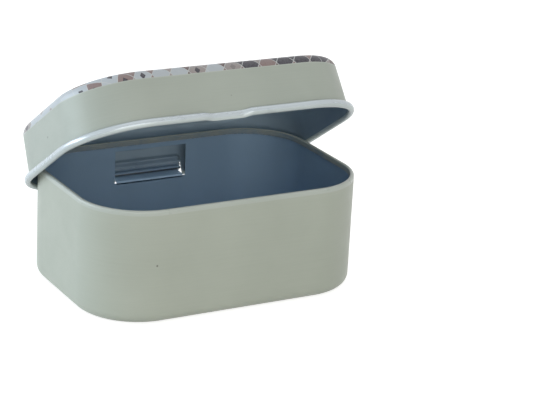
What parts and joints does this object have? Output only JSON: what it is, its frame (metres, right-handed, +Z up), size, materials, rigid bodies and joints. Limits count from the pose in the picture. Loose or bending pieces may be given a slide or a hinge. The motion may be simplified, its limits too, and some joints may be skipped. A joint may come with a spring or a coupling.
{
  "type": "hinged metal tin",
  "caption": "Rounded rectangular tinplate box with a drawn slip lid on a rolled strap hinge, a curled lid rim and a flattened thumb notch.",
  "frame": {"origin": "middle of the tray's flat underside", "axes": "+X along the tin's length, +Y from the thumb notch to the hinge, +Z up"},
  "size_m": [0.0998, 0.0741, 0.0728],
  "materials": {
    "base_enamel": "satin enamel outside, slate lacquer inside",
    "lid_enamel": "satin enamel and print outside, slate lacquer inside, bare tin on the curl",
    "pin_steel": "drawn wire"
  },
  "bodies": {
    "base": {"base_shell": "base_enamel", "hinge_pin": "pin_steel"},
    "lid": {"lid_shell": "lid_enamel"}
  },
  "joints": [
    {"name": "lid_hinge", "type": "hinge", "parent": "base", "child": "lid", "pos_m": [0, 0.03664, 0.0227], "axis": [-1, 0, 0], "range_deg": [-33.3, 66.7]}
  ]
}
